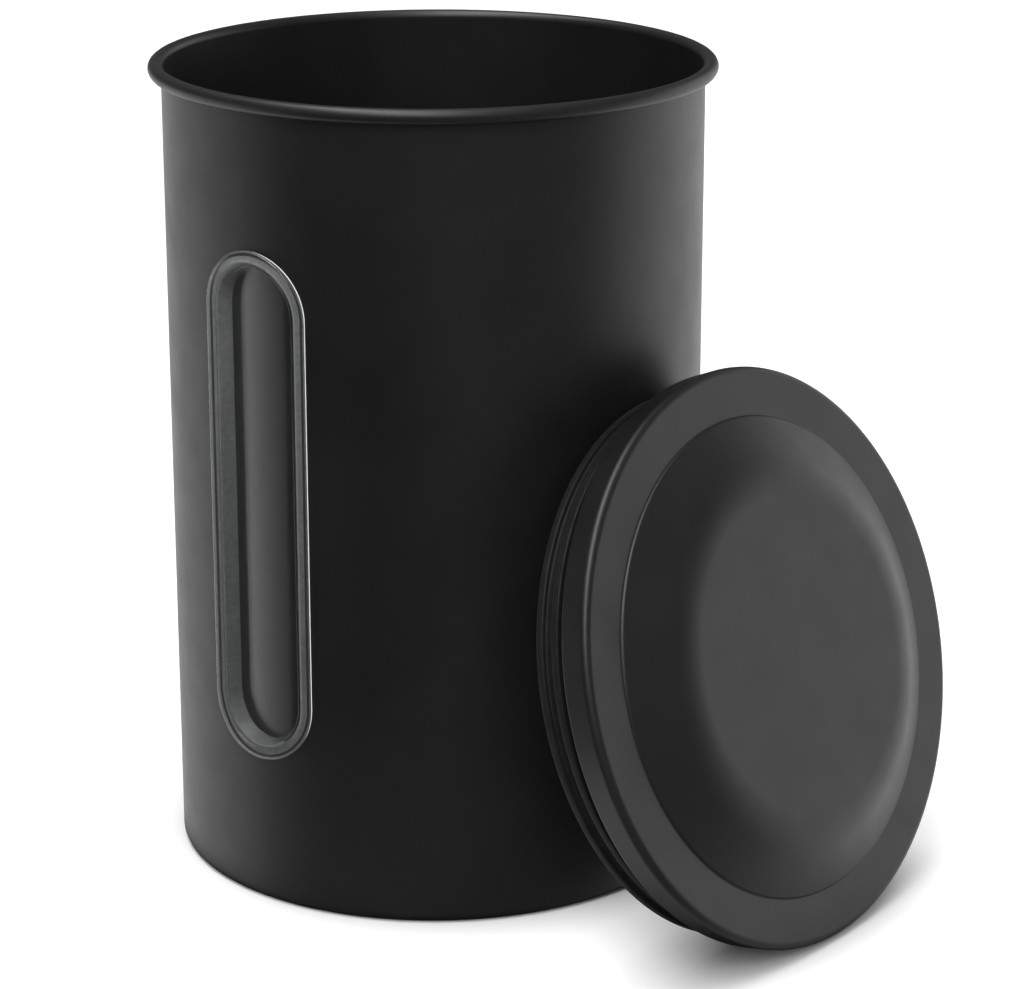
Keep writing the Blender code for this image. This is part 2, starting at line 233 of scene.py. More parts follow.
# %% [markdown]
# The window is one clear moulding. It refracts as acrylic does, and mirrors a little less, since
# its two faces would otherwise outshine the wall beside them. Flow in the mould leaves it very
# slightly wavy, and handling leaves it very slightly hazy. Plain transparency would be quicker to
# render, but it wouldn't bend the light at the edges, which is what makes a clear piece look solid.

# %% Clear acrylic
ACRYLIC_ROUGHNESS = (0.05, 0.09)
ACRYLIC_DRIFT = 0.009
FLOW_SIZE = 0.014
FLOW_DEPTH = 0.00002

clear_plastic, tree, shader, place = new_finish("clear_plastic")
shader.inputs["Base Color"].default_value = (0.93, 0.94, 0.94, 1)
shader.inputs["Transmission Weight"].default_value = 0.99
shader.inputs["Specular IOR Level"].default_value = 0.3
shader.inputs["IOR"].default_value = 1.49
between(tree, grain(tree, place, ACRYLIC_DRIFT), ACRYLIC_ROUGHNESS, shader.inputs["Roughness"])
bumps(tree, shader, grain(tree, place, FLOW_SIZE, detail=1.0), FLOW_DEPTH)

# %% [markdown]
# Where the moulding sits on the steel it is frosted, so that it holds there. Seen through the clear
# bezel, the frosted side is a soft grey that catches the light of the whole room. It could be rough
# glass, but a pale opaque finish gives the same grey with far less noise.

# %% Frosted seat of the window
FROST_COLOURS = ((0.17, 0.172, 0.174), (0.22, 0.222, 0.225))
FROST_CLOUD = 0.0012
FROST_ROUGHNESS = (0.7, 0.85)
FROST_DRIFT = 0.0006
FROST_SIZE = 0.0003
FROST_DEPTH = 0.000015

frosted_plastic, tree, shader, place = new_finish("frosted_plastic")
tint(tree, grain(tree, place, FROST_CLOUD), FROST_COLOURS, shader.inputs["Base Color"])
between(tree, grain(tree, place, FROST_DRIFT), FROST_ROUGHNESS, shader.inputs["Roughness"])
bumps(tree, shader, grain(tree, place, FROST_SIZE, detail=2.0), FROST_DEPTH)

# %% [markdown]
# ## How the pieces are made
# Nearly every piece here is sheet or moulding that turns round an axis, so it is drawn as a line
# and spun. The line is drawn the way a maker bends sheet: pull a straight run out of the tip, then
# swing the tip round a centre. Each straight run gets a point just inside its ends, so that the
# smooth shading of a bend can't spread along the flat beside it.

# %% Draw a line of sheet
ROUND_STEPS = 256
BEND_STEPS = 8
HOLD = 0.0003
SHORT_RUN = 4 * HOLD
MERGE = 0.000002


def start(radius, height):
    """A new form with the first point of its line."""
    form = bmesh.new()
    return form, form.verts.new((radius, 0, height))


def pull(form, tip, radius, height):
    """Pull a straight run out of the tip, held near both of its ends."""
    here, there = tip.co.copy(), Vector((radius, 0, height))
    run = (there - here).length
    stops = [there]
    if run > SHORT_RUN:
        stops = [here.lerp(there, HOLD / run), here.lerp(there, 1 - HOLD / run), there]
    for stop in stops:
        tip = bmesh.ops.extrude_vert_indiv(form, verts=[tip])["verts"][0]
        tip.co = stop
    return tip


def bend(form, tip, radius, height, degrees, steps=BEND_STEPS):
    """Swing the tip round a centre at that radius and height, clockwise as the line is drawn."""
    swung = bmesh.ops.spin(
        form, geom=[tip], cent=(radius, 0, height), axis=(0, 1, 0),
        angle=math.radians(degrees), steps=steps,
    )
    return swung["geom_last"][0]

# %% [markdown]
# Spinning the line once round gives a skin without thickness. It has to look the right way before
# the sheet gets its wall, because the wall grows behind it: `look` turns the skin over if it has
# to.

# %% Spin the line into a skin
def turn(form):
    """Spin the line once round the Z axis and close the seam."""
    bmesh.ops.spin(
        form, geom=form.verts[:] + form.edges[:], cent=(0, 0, 0), axis=(0, 0, 1),
        angle=math.tau, steps=ROUND_STEPS, use_merge=True,
    )
    bmesh.ops.remove_doubles(form, verts=form.verts, dist=MERGE)
    bmesh.ops.recalc_face_normals(form, faces=form.faces)


def look(form, out, up):
    """Turn the skin over unless it looks mostly outwards, or mostly upwards."""
    flow = 0
    for face in form.faces:
        radial = face.calc_center_median().xy.normalized()
        flow += face.calc_area() * (out * face.normal.xy.dot(radial) + up * face.normal.z)
    if flow < 0:
        bmesh.ops.reverse_faces(form, faces=form.faces)


def round_corners(form, radius, segments=3):
    """Round every corner of a line before it is spun."""
    bmesh.ops.bevel(
        form, geom=form.verts[:], offset=radius, offset_type="OFFSET", segments=segments,
        profile=0.5, affect="VERTICES", clamp_overlap=True, material=-1,
    )

# %% [markdown]
# A finished form becomes a piece in the same few steps each time. It rides on one of the model's
# two bodies, so that it moves as the joint does. It stands for one of the plain solids, which is
# then hidden, and it names the slot of its finish. Its shading is smooth, except at corners sharper
# than 35 degrees.

# %% Hand a piece over
SHARP_CORNER = math.radians(35)


def hand_over(name, form, finish, body, node):
    """Make the form a piece, which rides on its body and stands for its node."""
    mesh = bpy.data.meshes.new(name)
    form.to_mesh(mesh)
    form.free()
    mesh.shade_smooth()
    mesh.set_sharp_from_angle(angle=SHARP_CORNER)
    mesh.materials.append(finish)
    piece = bpy.data.objects.new(name, mesh)
    scene.collection.objects.link(piece)
    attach(piece, body)
    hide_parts(node)
    mesh.calc_loop_triangles()
    print(name, len(mesh.loop_triangles), "triangles")
    return piece

# %% [markdown]
# ## The wall
# The wall is one strip of sheet: a flange turned in at the foot, the wall itself, and a rim curled
# outwards almost into a full tube. Drawn on its outer side, the line meets the curl from inside, so
# the curl's radius is less there by the sheet's thickness. A cylinder with a ring on top would show
# a joint, while one spun line has every bend in it.

# %% Bend the wall's sheet
FOOT_BEND = 0.0025
FOOT_FLANGE = 0.004
CURL_TURN = 300
CURL_STEPS = 30

foot_centre = WALL_RADIUS - FOOT_BEND
wall, tip = start(foot_centre - FOOT_FLANGE, 0)
tip = pull(wall, tip, foot_centre, 0)
tip = bend(wall, tip, foot_centre, FOOT_BEND, -90)
tip = pull(wall, tip, WALL_RADIUS, CAN_HEIGHT - CURL_RADIUS)
bend(wall, tip, BORE_RADIUS + CURL_RADIUS, CAN_HEIGHT - CURL_RADIUS, CURL_TURN, CURL_STEPS)
turn(wall)
look(wall, out=1, up=0)
print("wall skin", len(wall.faces), "faces")

# %% [markdown]
# The strip's ends lap and are welded at the back, away from the window. The coat softens the lap to
# a low band on the outside, while the bore stays smooth for the lid's seal. The sheet gets its
# thickness first. Then planes cut the band's borders into the outer skin only, and its middle is
# pulled out. A strip laid over the wall would show its edge and leave a gap.

# %% Find and score the side seam
SEAM_WIDTH = 0.004
SEAM_RISE = 0.00025
SEAM_SLOPE = 0.0005
SEAM_MARGIN = 0.001

bmesh.ops.solidify(wall, geom=wall.faces, thickness=SHEET)
seam_low = FOOT_BEND + SEAM_MARGIN
seam_high = CAN_HEIGHT - 2 * CURL_RADIUS - SEAM_MARGIN
half = SEAM_WIDTH / 2


def on_the_seam(point, reach):
    """Whether a point lies on the outer skin at the back, that near the middle of the seam."""
    on_the_outside = point.y > WALL_RADIUS - SHEET / 2 and point.z < CAN_HEIGHT - CURL_RADIUS
    return on_the_outside and abs(point.x) < reach


def score(form, place, direction):
    """Cut a border into the outer skin, near the seam only."""
    near = [face for face in form.faces if on_the_seam(face.calc_center_median(), 2 * SEAM_WIDTH)]
    rims = {edge for face in near for edge in face.edges}
    corners = {corner for face in near for corner in face.verts}
    bmesh.ops.bisect_plane(
        form, geom=near + list(rims) + list(corners), dist=MERGE,
        plane_co=place, plane_no=direction,
    )

# %% Pull the seam out
for across in (-half - SEAM_SLOPE, -half, half, half + SEAM_SLOPE):
    score(wall, (across, 0, 0), (1, 0, 0))
for height in (seam_low, seam_low + SEAM_SLOPE, seam_high - SEAM_SLOPE, seam_high):
    score(wall, (0, 0, height), (0, 0, 1))
raised = [
    corner for corner in wall.verts
    if on_the_seam(corner.co, half + MERGE)
    and seam_low + SEAM_SLOPE - MERGE < corner.co.z < seam_high - SEAM_SLOPE + MERGE
]
bmesh.ops.translate(wall, verts=raised, vec=(0, SEAM_RISE, 0))
print("seam raised at", len(raised), "points")

# %% [markdown]
# ## The window's outline
# The window is a slot with round ends. Its pieces are drawn flat, as if the wall were rolled out:
# across is x, along is y, and rise over the wall is z. Drawn on the round wall at once, they would
# need a sum for every point. A cross-section is drawn at the right-hand side. The outline was
# measured once more in the photograph, and is 2.6 by 1.3 mm smaller than the solid's.

# %% Draw a cross-section of the window
low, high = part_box("window_lens")
WINDOW_MIDDLE = (low.z + high.z) / 2
WINDOW_HEIGHT = 0.1433
WINDOW_WIDTH = 0.0348
HALF_STRAIGHT = (WINDOW_HEIGHT - WINDOW_WIDTH) / 2
ARCH_STEPS = 64
print("window", round(1000 * WINDOW_WIDTH, 1), "by", round(1000 * WINDOW_HEIGHT, 1), "mm")


def section(points):
    """A cross-section, from points given as how far in from the bezel's outline and how high."""
    form = bmesh.new()
    places = [(WINDOW_WIDTH / 2 - inset, HALF_STRAIGHT, rise) for inset, rise in points]
    corners = [form.verts.new(place) for place in places]
    for first, second in zip(corners, corners[1:]):
        form.edges.new((first, second))
    return form, corners

# %% [markdown]
# The cross-section is carried once round the outline: a spin over each arch, and a straight pull
# from one arch to the next. The last points meet the first there, so the doubles are merged before
# the normals are worked out.

# %% Carry it round the outline
def carry_round(form):
    """Sweep the cross-section once round the outline."""
    front = form.edges[:]
    for centre in (HALF_STRAIGHT, -HALF_STRAIGHT):
        front = list(set(front) | {corner for edge in front for corner in edge.verts})
        swung = bmesh.ops.spin(
            form, geom=front, cent=(0, centre, 0), axis=(0, 0, 1), angle=math.pi, steps=ARCH_STEPS,
        )
        edges = [item for item in swung["geom_last"] if isinstance(item, bmesh.types.BMEdge)]
        pulled = bmesh.ops.extrude_edge_only(form, edges=edges)["geom"]
        moved = [item for item in pulled if isinstance(item, bmesh.types.BMVert)]
        bmesh.ops.translate(form, verts=moved, vec=(0, -2 * centre, 0))
        front = [item for item in pulled if isinstance(item, bmesh.types.BMEdge)]
    bmesh.ops.remove_doubles(form, verts=form.verts, dist=MERGE)
    bmesh.ops.recalc_face_normals(form, faces=form.faces)

# %% [markdown]
# At last the drawing is rolled onto the wall. Widths keep their length along the wall's outer side,
# as they would on paper, and only what rises over it or sinks into it is stretched or squeezed a
# little.

# %% Roll the drawing onto the wall
def lay_on_wall(form):
    """Roll the flat drawing onto the wall: across becomes an angle and rise a radius."""
    for corner in form.verts:
        angle = corner.co.x / WALL_RADIUS
        radius = WALL_RADIUS + corner.co.z
        height = WINDOW_MIDDLE + corner.co.y
        corner.co = (radius * math.sin(angle), -radius * math.cos(angle), height)

# %% [markdown]
# ## The slot in the wall
# The slot is cut through the finished sheet. A Boolean does this better than the mesh operators,
# since it follows the outline through 256 narrow strips and leaves the rest of the wall as it was.
# It needs a cutter first: a block with the slot's outline, deeper than the sheet and bent as the
# wall is.

# %% Make the slot's cutter
BEZEL_WIDTH = 0.0032
SILL_WIDTH = 0.0011
LEDGE_WIDTH = 0.0006
NECK_WALL = 0.0013
CLEARANCE = 0.0003
CUT_REACH = 0.003
NECK_INSET = BEZEL_WIDTH + SILL_WIDTH + LEDGE_WIDTH - NECK_WALL

slot_inset = NECK_INSET - CLEARANCE
cutter_form, corners = section([(slot_inset, CUT_REACH), (slot_inset, -CUT_REACH)])
carry_round(cutter_form)
bmesh.ops.holes_fill(cutter_form, edges=cutter_form.edges)
bmesh.ops.recalc_face_normals(cutter_form, faces=cutter_form.faces)
lay_on_wall(cutter_form)
cutter_mesh = bpy.data.meshes.new("slot_cutter")
cutter_form.to_mesh(cutter_mesh)
cutter_form.free()
cutter = bpy.data.objects.new("slot_cutter", cutter_mesh)
scene.collection.objects.link(cutter)
print("cutter", len(cutter_mesh.polygons), "faces")

# %% Cut the slot
wall_mesh = bpy.data.meshes.new("wall_draft")
wall.to_mesh(wall_mesh)
draft = bpy.data.objects.new("wall_draft", wall_mesh)
scene.collection.objects.link(draft)
cut = draft.modifiers.new("slot", "BOOLEAN")
cut.object = cutter
cut.operation = "DIFFERENCE"
cut.solver = "EXACT"
bpy.context.view_layer.update()
cut_draft = draft.evaluated_get(bpy.context.evaluated_depsgraph_get())
cut_mesh = bpy.data.meshes.new_from_object(cut_draft)
wall.clear()
wall.from_mesh(cut_mesh)
for helper in (draft, cutter):
    bpy.data.objects.remove(helper)
bmesh.ops.translate(wall, verts=wall.verts, vec=CAN_AXIS)
can_wall = hand_over("can_wall", wall, black_paint, "canister", "can_body")

# %% [markdown]
# ## The base
# The base is a pressed pan that stands inside the foot. Its middle is raised, so the canister rests
# on the foot alone, and its rim turns up inside the wall. It is drawn on its upper side. A plain
# disc would be quicker, but a tipped canister shows these bends.

# %% Press the base pan
BASE_RIM_HEIGHT = 0.006
BASE_RECESS = 0.004
BASE_LAND = 0.0035
BASE_SLOPE = 0.003

outer_bend = FOOT_BEND - SHEET - CLEARANCE
land_centre = BORE_RADIUS - CLEARANCE - outer_bend
land_height = SHEET + CLEARANCE + SHEET
land_inner = land_centre - BASE_LAND
base, tip = start(0, BASE_RECESS + SHEET)
tip = pull(base, tip, land_inner - BASE_SLOPE, BASE_RECESS + SHEET)
tip = pull(base, tip, land_inner, land_height)
tip = pull(base, tip, land_centre, land_height)
tip = bend(base, tip, land_centre, SHEET + CLEARANCE + outer_bend, -90)
pull(base, tip, land_centre + outer_bend - SHEET, BASE_RIM_HEIGHT)
turn(base)
look(base, out=0, up=1)
bmesh.ops.solidify(base, geom=base.faces, thickness=SHEET)
bmesh.ops.translate(base, verts=base.verts, vec=CAN_AXIS)
hand_over("base_pan", base, black_paint, "canister", "base_plate")

# %% [markdown]
# ## The clear window
# The moulding has a round bezel on the wall, a low sill inside it, a neck that goes through the
# slot with a small ledge, and a pane sunk almost 4 mm. The cross-section runs from the pane's front
# edge over the bezel to the pane's back edge, with small radii, because a moulding has no knife
# edges. It has to be one closed form, since light bends where it enters and where it leaves.

# %% Draw the moulding's cross-section
BEZEL_RISE = 0.0017
BEZEL_EDGE = 0.0006
BEZEL_SEAT = 0.0001
BEZEL_STEPS = 14
SILL_RISE = 0.0004
LEDGE_DEPTH = 0.0016
LENS_DEPTH = 0.0039
LENS_THICKNESS = 0.0013
EDGE_ROUND = 0.00018
CLEAR_LIP = 0.0006
BLACK_RINGS = ((0.001, 0.0015), (0.0028, 0.0031))

sill = BEZEL_WIDTH + SILL_WIDTH
ledge = sill + LEDGE_WIDTH
pane_back = -LENS_DEPTH - LENS_THICKNESS
bead = []
for step in range(BEZEL_STEPS + 1):
    angle = math.pi * step / BEZEL_STEPS
    bead.append((BEZEL_WIDTH / 2 * (1 + math.cos(angle)),
                 BEZEL_EDGE + (BEZEL_RISE - BEZEL_EDGE) * math.sin(angle)))
steps = [(ledge + SILL_WIDTH, -LENS_DEPTH), (ledge, -LENS_DEPTH), (ledge, -LEDGE_DEPTH),
         (sill, -LEDGE_DEPTH), (sill, SILL_RISE), (BEZEL_WIDTH, SILL_RISE)]
borders = [border for ring in BLACK_RINGS for border in ring]
under = [(border, BEZEL_SEAT) for border in (0, CLEAR_LIP, *borders, NECK_INSET)]
under += [(NECK_INSET, pane_back), (ledge + SILL_WIDTH, pane_back)]
window, corners = section(steps + bead + under)
print("cross-section of", len(corners), "points")

# %% [markdown]
# Its corners are rounded while the drawing is still a line, which is easier than on the finished
# form. The two open ends of the swept skin are filled with the pane's front and back.

# %% Mould the window
sharp = corners[1:5] + corners[-3:-1]
bmesh.ops.bevel(window, geom=sharp, offset=EDGE_ROUND, offset_type="OFFSET", segments=3,
                profile=0.5, affect="VERTICES", clamp_overlap=True, material=-1)
carry_round(window)
bmesh.ops.holes_fill(window, edges=window.edges)
bmesh.ops.recalc_face_normals(window, faces=window.faces)
print("moulding", len(window.faces), "faces")

# %% [markdown]
# The underside of the bezel is frosted, and so is the outside of the neck. A narrow lip at the
# outer edge stays clear and catches a bright line. Two thin black rings on the underside show
# through the bezel as dark lines. While the drawing is flat, the faces are easily told apart by
# where they look and how far in from the outline they lie.

# %% Frost the moulding's seat
CLEAR, FROSTED, BLACK = range(3)
FACING = 0.5

for face in window.faces:
    middle = face.calc_center_median()
    out = Vector((middle.x, middle.y - max(-HALF_STRAIGHT, min(HALF_STRAIGHT, middle.y)), 0))
    inset = WINDOW_WIDTH / 2 - out.length
    looks_down = face.normal.z < -FACING and middle.z > -LEDGE_DEPTH and inset > CLEAR_LIP
    looks_out = face.normal.dot(out.normalized()) > FACING and middle.z < BEZEL_SEAT
    in_a_ring = any(first < inset < last for first, last in BLACK_RINGS)
    if looks_down and in_a_ring:
        face.material_index = BLACK
    else:
        face.material_index = FROSTED if looks_down or looks_out else CLEAR
frosted_faces = sum(face.material_index == FROSTED for face in window.faces)
print("frosted", frosted_faces, "of", len(window.faces), "faces")

# %% [markdown]
# The pane's front and back are one large flat face each, which can't follow the wall's curve. So
# they are cut into narrow strips before the drawing is laid on the wall.

# %% Lay the moulding on the wall
PANE_STRIP = 0.001
FLAT = 0.9
QUAD = 4

pane_half = WINDOW_WIDTH / 2 - ledge - SILL_WIDTH
strips = int(pane_half / PANE_STRIP)
for strip in range(-strips, strips + 1):
    panes = [face for face in window.faces if len(face.verts) > QUAD and abs(face.normal.z) > FLAT]
    rims = {edge for face in panes for edge in face.edges}
    corners = {corner for face in panes for corner in face.verts}
    bmesh.ops.bisect_plane(
        window, geom=panes + list(rims) + list(corners), dist=MERGE,
        plane_co=(strip * PANE_STRIP, 0, 0), plane_no=(1, 0, 0),
    )
lay_on_wall(window)
bmesh.ops.translate(window, verts=window.verts, vec=CAN_AXIS)
moulding = hand_over(
    "window_moulding", window, clear_plastic, "canister", "window_lens",
)
for finish in (frosted_plastic, black_plastic):
    moulding.data.materials.append(finish)

# %% [markdown]
# Inside the can, a flat ring of silicone seals the window, and a frame on the window's neck clamps
# it. Both are closed cross-sections, carried round the same outline, so they fit it without any
# cutting.

# %% Clamp the window from inside
GASKET_WIDTH = 0.0026
GASKET_THICKNESS = 0.0012
CLAMP_WIDTH = 0.0034
CLAMP_THICKNESS = 0.002
CLAMP_ROUND = 0.0005


def make_ring(name, finish, node, inner, outer, top, bottom, corner_round):
    """A ring round the window's neck, with rounded corners."""
    ring, corners = section([(inner, bottom), (inner, top), (outer, top), (outer, bottom)])
    ring.edges.new((corners[-1], corners[0]))
    round_corners(ring, corner_round)
    carry_round(ring)
    lay_on_wall(ring)
    bmesh.ops.translate(ring, verts=ring.verts, vec=CAN_AXIS)
    return hand_over(name, ring, finish, "canister", node)


gasket_top = -SHEET - CLEARANCE
gasket_bottom = gasket_top - GASKET_THICKNESS
clamp_top = gasket_bottom - CLEARANCE
make_ring("window_gasket", silicone, "window_seal",
          slot_inset, slot_inset - GASKET_WIDTH, gasket_top, gasket_bottom, EDGE_ROUND)
make_ring("window_clamp", black_plastic, "window_retainer",
          slot_inset, slot_inset - CLAMP_WIDTH, clamp_top, clamp_top - CLAMP_THICKNESS, CLAMP_ROUND)

# %% [markdown]
# ## Where the lid leans
# The lid's pieces are drawn face up with their axis on Z, and heights below the face are depths.
# The lid then leans back against the can. Two touches fix its place: the seal's rear lip on the
# wall, and the hem of the skirt on the floor. The angle comes from the joint, which ends with the
# face down. Turned by eye, the lid would soon cut into the wall or hang in the air. It stands a few
# millimetres behind the canister's middle, as in the photograph.

# %% Work out the lid's place
tip_joint = next(joint for joint in frame["joints"] if joint["name"] == "lid_tip")
LEAN = math.radians(tip_joint["range_deg"][1] - 90)
LEAN_SHIFT = 0.00345
LID_RADIUS = RIM_RADIUS
SKIRT_DEPTH = 0.00935
SKIRT_TAPER = 0.0006
HEM_BEND = 0.001
PLUG_DEPTH = 0.02225
PLUG_RIM = 0.0011
LIP_BEND = 0.0005
SEAL_BACK = PLUG_DEPTH - PLUG_RIM - CLEARANCE
LIP_RADIUS = BORE_RADIUS - CLEARANCE

hem_depth = SKIRT_DEPTH - HEM_BEND
hem_radius = LID_RADIUS - SKIRT_TAPER - HEM_BEND
lip_depth = SEAL_BACK - LIP_BEND
lip_radius = LIP_RADIUS - LIP_BEND
lid_x = (WALL_RADIUS + CLEARANCE + LIP_BEND
         + lip_depth * math.cos(LEAN) + lip_radius * math.sin(LEAN))
lid_z = HEM_BEND + hem_depth * math.sin(LEAN) + hem_radius * math.cos(LEAN)
lid_place = (Matrix.Translation(CAN_AXIS + Vector((lid_x, LEAN_SHIFT, lid_z)))
             @ Matrix.Rotation(math.pi / 2 - LEAN, 4, "Y"))
print("the lid leans", round(math.degrees(LEAN), 1), "degrees back")


def hand_over_lid(name, form, finish, node):
    """Lean a finished lid piece in its place and hand it over."""
    bmesh.ops.transform(form, matrix=lid_place, verts=form.verts)
    return hand_over(name, form, finish, "lid", node)

# %% [markdown]
# ## The lid's cover
# The cover is pressed from sheet. Its dome has a flat top, a wide round shoulder and a straight
# slope, which ends in a short steep step: a dark line runs round the dome there. Then come the flat
# border, the rounded edge, the skirt and the hem. The slope touches the shoulder's circle and
# passes through the top of the step, and that gives its angle. A flattened ball would be quicker,
# but it is too round at the middle.

# %% Work out the dome's slope
EDGE_BEND = 0.00195
HEM_WIDTH = 0.0012
LID_BORDER = 0.0134
DOME_RADIUS = LID_RADIUS - LID_BORDER
DOME_HEIGHT = 0.0087
DOME_SLOPE = 0.0222
DOME_SHOULDER = 0.024
SHOULDER_STEPS = 20
STEP_WIDTH = 0.0004
STEP_HEIGHT = 0.0006
STEP_ROUND = 0.00025

drop = DOME_SHOULDER - DOME_HEIGHT
slope_run, slope_drop = DOME_SLOPE - STEP_WIDTH, drop + STEP_HEIGHT
touch = math.acos(DOME_SHOULDER / math.hypot(slope_run, slope_drop))
slope_angle = math.atan2(slope_run, slope_drop) - touch
print("the dome falls at", round(math.degrees(slope_angle), 1), "degrees")

# %% Press the lid's cover
cover, tip = start(0, DOME_HEIGHT)
tip = pull(cover, tip, DOME_RADIUS - DOME_SLOPE, DOME_HEIGHT)
tip = bend(cover, tip, DOME_RADIUS - DOME_SLOPE, -drop, math.degrees(slope_angle), SHOULDER_STEPS)
step_top = pull(cover, tip, DOME_RADIUS - STEP_WIDTH, STEP_HEIGHT)
step_foot = pull(cover, step_top, DOME_RADIUS, 0)
tip = pull(cover, step_foot, LID_RADIUS - EDGE_BEND, 0)
tip = bend(cover, tip, LID_RADIUS - EDGE_BEND, -EDGE_BEND, 90)
tip = pull(cover, tip, hem_radius + HEM_BEND, -hem_depth)
tip = bend(cover, tip, hem_radius, -hem_depth, 90)
pull(cover, tip, hem_radius - HEM_WIDTH, -SKIRT_DEPTH)
bmesh.ops.bevel(cover, geom=[step_top, step_foot], offset=STEP_ROUND, offset_type="OFFSET",
                segments=4, profile=0.5, affect="VERTICES", clamp_overlap=True, material=-1)
turn(cover)
look(cover, out=0, up=1)
bmesh.ops.solidify(cover, geom=cover.faces, thickness=SHEET)
lid_dome = hand_over_lid("lid_dome", cover, black_paint, "lid_cover")

# %% [markdown]
# ## The plug and its seal
# Behind the cover sits a moulded cup. Its flange lies in the hem, its wall has a groove for the
# seal, and its panel is raised for stiffness. The heights below are worked out from those of the
# cover, so that the two fit together.

# %% Work out the plug's sizes
PLUG_AIR = 0.0018
PLUG_WALL = 0.0014
PLUG_LAND = 0.0116
PLUG_SLOPE = 0.002
PLUG_PANEL_RISE = 0.0016
PLUG_FLANGE = 0.0014
PLUG_RIM_STEP = 0.0012
PLUG_RIM_CHAMFER = 0.0035
PLUG_ROUND = 0.0004
SEAL_GROOVE = 0.0016
LIP_WIDTH = 0.0023
LIP_PITCH = 0.0049
SEAL_CORE = 0.0016

plug_radius = BORE_RADIUS - PLUG_AIR
seat = plug_radius - SEAL_GROOVE
seal_front = SEAL_BACK - LIP_PITCH - LIP_WIDTH
inner = seat - PLUG_WALL
floor_height = -PLUG_DEPTH + PLUG_WALL
panel = floor_height + PLUG_PANEL_RISE
flange_bottom = -SKIRT_DEPTH + SHEET + CLEARANCE
flange_top = flange_bottom + PLUG_FLANGE
flange_radius = LID_RADIUS - SKIRT_TAPER - SHEET - CLEARANCE
land = inner - PLUG_LAND
panel_edge = land - PLUG_SLOPE
rim = seat + PLUG_RIM_STEP
print("plug", round(2000 * plug_radius, 1), "mm across")

# %% [markdown]
# The cup is solid, so it isn't drawn as sheet is. Its whole outline is drawn, point by point, and
# then every corner is rounded, as the mould's corners are.

# %% Draw the outline of a solid
def draw_solid(points, corner_round):
    """The outline of a solid that is spun: a line whose corners are rounded."""
    form, tip = start(*points[0])
    for radius, height in points[1:]:
        tip = bmesh.ops.extrude_vert_indiv(form, verts=[tip])["verts"][0]
        tip.co = (radius, 0, height)
    ends = [corner for corner in form.verts if len(corner.link_edges) == 1]
    if ends[0].co.x > 0:
        form.edges.new(ends)
    rounded = [corner for corner in form.verts if len(corner.link_edges) == 2]
    bmesh.ops.bevel(form, geom=rounded, offset=corner_round, offset_type="OFFSET", segments=4,
                    profile=0.5, affect="VERTICES", clamp_overlap=True, material=-1)
    return form

# %% Mould the plug
plug = draw_solid([
    (0, panel), (panel_edge, panel), (land, floor_height), (inner, floor_height),
    (inner, -SHEET - CLEARANCE), (seat, -SHEET - CLEARANCE), (seat, flange_top),
    (flange_radius, flange_top), (flange_radius, flange_bottom), (plug_radius, flange_bottom),
    (plug_radius, -seal_front + CLEARANCE), (seat, -seal_front + CLEARANCE),
    (seat, -SEAL_BACK - CLEARANCE), (rim, -SEAL_BACK - CLEARANCE),
    (rim - PLUG_RIM_CHAMFER, -PLUG_DEPTH), (land, -PLUG_DEPTH),
    (panel_edge, panel - PLUG_WALL), (0, panel - PLUG_WALL),
], PLUG_ROUND)
turn(plug)
hand_over_lid("lid_cup", plug, black_plastic, "lid_plug")

# %% [markdown]
# The seal is a ring of silicone in the plug's groove, drawn in the same way. Its two lips bend as
# they slide down the bore, and off the canister they spread again, the rear one a little more.

# %% Mould the seal
LIP_SPREAD = 0.0002

lip_reach = LIP_RADIUS + LIP_SPREAD
seal_inner = seat + CLEARANCE
seal_core = seal_inner + SEAL_CORE
first_back = seal_front + LIP_WIDTH
second_front = seal_front + LIP_PITCH
seal = draw_solid([
    (seal_inner, -seal_front), (LIP_RADIUS, -seal_front), (LIP_RADIUS, -first_back),
    (seal_core, -first_back), (seal_core, -second_front), (lip_reach, -second_front),
    (lip_reach, -SEAL_BACK), (seal_inner, -SEAL_BACK),
], LIP_BEND)
turn(seal)
lid_gasket = hand_over_lid("lid_gasket", seal, silicone, "lid_seal")

# %% [markdown]
# ## Floor
# The set is a pale floor that runs into a white background, and a wide disc is enough for it. It
# blocks no light, so the room lights the canister from below as well.

# %% Lay the floor
FLOOR_RADIUS = 2.5
FLOOR_SEGMENTS = 128

floor_form = bmesh.new()
bmesh.ops.create_circle(floor_form, cap_ends=True, segments=FLOOR_SEGMENTS, radius=FLOOR_RADIUS)
floor_mesh = bpy.data.meshes.new("floor")
floor_form.to_mesh(floor_mesh)
floor_form.free()
floor = bpy.data.objects.new("floor", floor_mesh)
scene.collection.objects.link(floor)
floor.visible_shadow = False
print("floor", 2 * FLOOR_RADIUS, "m across")

# %% [markdown]
# The look of the floor is worked out in its shader. For the camera alone it glows a little, so that
# it reaches white where nothing shades it. The glow fades where something stands close, which
# ambient occlusion measures, so the floor keeps a soft shadow and the object sits firmly on it. Two
# helpers make such sums short to write.

# %% Maths nodes
def calculate(tree, operation, first, second=0.0):
    """A maths node on two operands, each of them a number or a socket."""
    node = add_node(tree, "ShaderNodeMath")
    node.operation = operation
    for socket, operand in zip(node.inputs, (first, second)):
        if isinstance(operand, bpy.types.NodeSocket):
            tree.links.new(operand, socket)
        else:
            socket.default_value = operand
    return node.outputs["Value"]


def rise(tree, value, start_at, end_at):
    """A soft step of a value: 0 up to the start and 1 from the end on."""
    node = add_node(tree, "ShaderNodeMapRange")
    node.interpolation_type = "SMOOTHSTEP"
    node.inputs["From Min"].default_value = start_at
    node.inputs["From Max"].default_value = end_at
    tree.links.new(value, node.inputs["Value"])
    return node.outputs["Result"]

